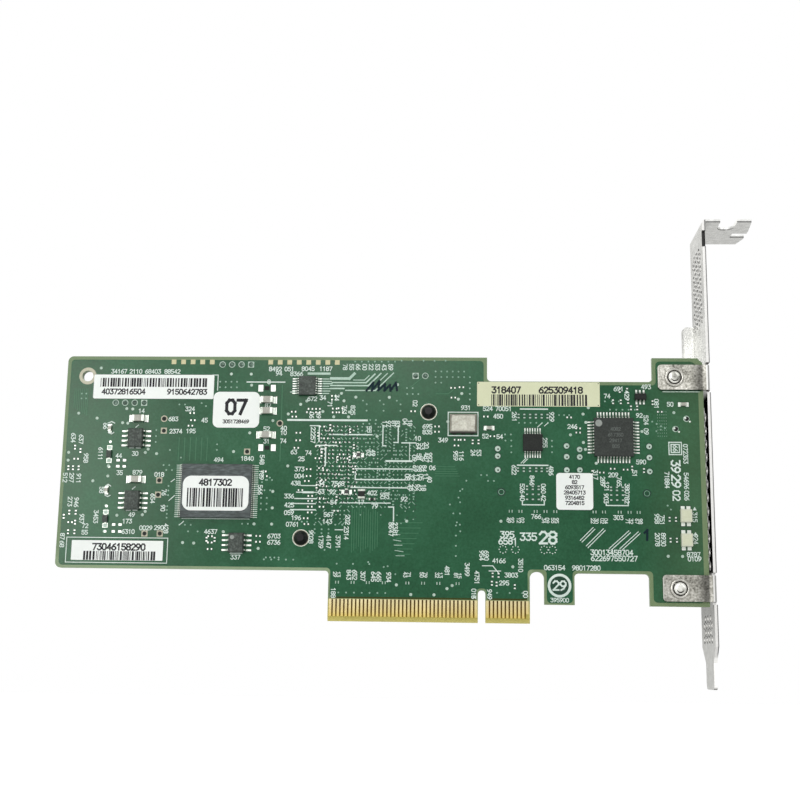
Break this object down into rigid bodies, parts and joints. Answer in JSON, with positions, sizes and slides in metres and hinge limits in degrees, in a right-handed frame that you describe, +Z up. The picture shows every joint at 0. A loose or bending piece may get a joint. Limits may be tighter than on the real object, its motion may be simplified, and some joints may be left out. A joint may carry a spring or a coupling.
{
  "type": "host bus adapter",
  "caption": "Server host bus adapter card: green circuit board with a gold edge connector, chips, heatsink, internal drive-cable sockets and a full-height perforated bracket.",
  "frame": {"origin": "middle of the key notch on the contact edge, in the middle of the board's thickness", "axes": "+X along the card towards the bracket, +Y out of the component side, +Z up, away from the contact edge"},
  "size_m": [0.1822, 0.0194, 0.1224],
  "materials": {
    "board_laminate": "dark green solder mask, satin gloss",
    "bracket_steel": "nickel plated sheet, satin",
    "can_aluminium": "drawn can, satin",
    "capacitor_tan": "ceramic, satin",
    "ceramic_cream": "ceramic, matt",
    "chip_black": "moulded epoxy, matt",
    "contact_gold": "gold plated, satin",
    "ferrite_grey": "pressed powder, matt",
    "heatsink_aluminium": "anodised, satin",
    "housing_black": "moulded, satin",
    "light_lens": "clear resin, glossy",
    "light_white": "moulded, satin",
    "pad_grey": "soft pad, matt",
    "paper_cream": "coated paper, satin",
    "paper_white": "coated paper, satin",
    "pin_black": "moulded nylon, satin",
    "screw_steel": "zinc plated",
    "shell_steel": "tin plated sheet",
    "spring_steel": "bare spring wire",
    "tantalum_amber": "moulded, satin",
    "tinned_metal": "tin plated, satin"
  },
  "bodies": {
    "root": {"bracket": "bracket_steel", "bracket_screws": "screw_steel", "buffer_chip_left": "chip_black", "buffer_chip_left_leads": "tinned_metal", "buffer_chip_right": "chip_black", "buffer_chip_right_leads": "tinned_metal", "capacitor_bodies": "capacitor_tan", "capacitor_terminals": "tinned_metal", "circuit_board": "board_laminate", "contacts_component_side": "contact_gold", "contacts_solder_side": "contact_gold", "controller_chip": "chip_black", "crystal_can": "tinned_metal", "decoupling_bodies": "capacitor_tan", "decoupling_terminals": "tinned_metal", "diode_bodies": "chip_black", "diode_tabs": "tinned_metal", "flash_chip": "chip_black", "flash_leads": "tinned_metal", "header_housings": "housing_black", "header_pins": "contact_gold", "heatsink": "heatsink_aluminium", "inductors": "ferrite_grey", "label_cream": "paper_cream", "label_flash": "paper_white", "label_long": "paper_white", "label_lower_left": "paper_white", "label_right_square": "paper_white", "label_upper_square": "paper_white", "light_bodies": "light_white", "light_lenses": "light_lens", "logic_chip": "chip_black", "logic_leads": "tinned_metal", "memory_chip": "chip_black", "memory_chip_leads": "tinned_metal", "monitor_chip": "chip_black", "monitor_leads": "tinned_metal", "oscillator_base": "ceramic_cream", "oscillator_can": "tinned_metal", "polymer_bases": "housing_black", "polymer_cans": "can_aluminium", "push_pin_springs": "spring_steel", "push_pins": "pin_black", "regulator_chips": "chip_black", "regulator_leads": "tinned_metal", "socket_contacts_lower": "contact_gold", "socket_contacts_upper": "contact_gold", "socket_housing_lower": "housing_black", "socket_housing_upper": "housing_black", "socket_shell_lower": "shell_steel", "socket_shell_upper": "shell_steel", "switch_chip_lower": "chip_black", "switch_chip_lower_leads": "tinned_metal", "switch_chip_upper": "chip_black", "switch_chip_upper_leads": "tinned_metal", "tantalum_bodies": "tantalum_amber", "tantalum_terminals": "tinned_metal", "thermal_pad": "pad_grey"}
  },
  "joints": []
}
